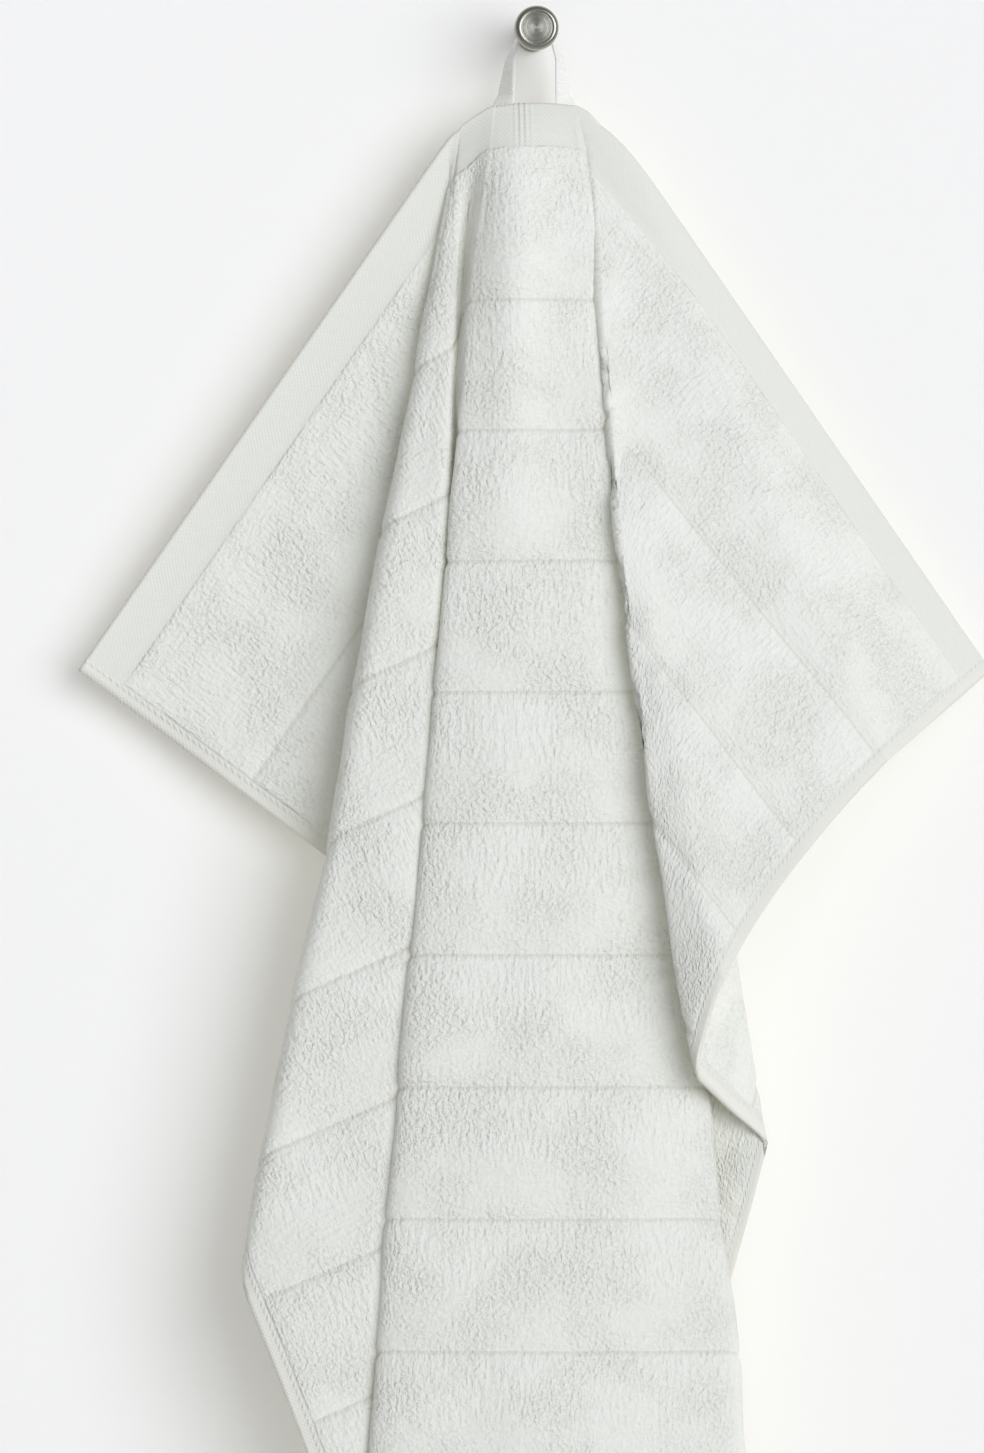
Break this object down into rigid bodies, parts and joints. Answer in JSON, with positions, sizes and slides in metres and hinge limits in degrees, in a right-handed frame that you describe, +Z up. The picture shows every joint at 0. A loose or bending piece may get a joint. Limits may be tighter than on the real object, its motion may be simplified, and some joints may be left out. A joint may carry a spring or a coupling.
{
  "type": "terry hand towel on a round wall hook",
  "caption": "A terry hand towel hanging by its sewn loop from a small round steel wall hook, with its corners falling to both sides and folds gathered in the middle.",
  "frame": {"origin": "The centre of the hook's flat back face, on the wall's surface.", "axes": "+Y goes into the wall, +Z is up, and +X is to the right as seen from the room."},
  "size_m": [0.3061, 0.0724, 0.7626],
  "materials": {
    "terry": "white looped pile with woven cross stripes",
    "tape": "white woven tape",
    "steel": "turned stainless steel with a lathe-faced head"
  },
  "bodies": {
    "root": {"towel": "terry", "hanging_loop": "tape", "hook_body": "steel", "hook_head": "steel"}
  },
  "joints": []
}
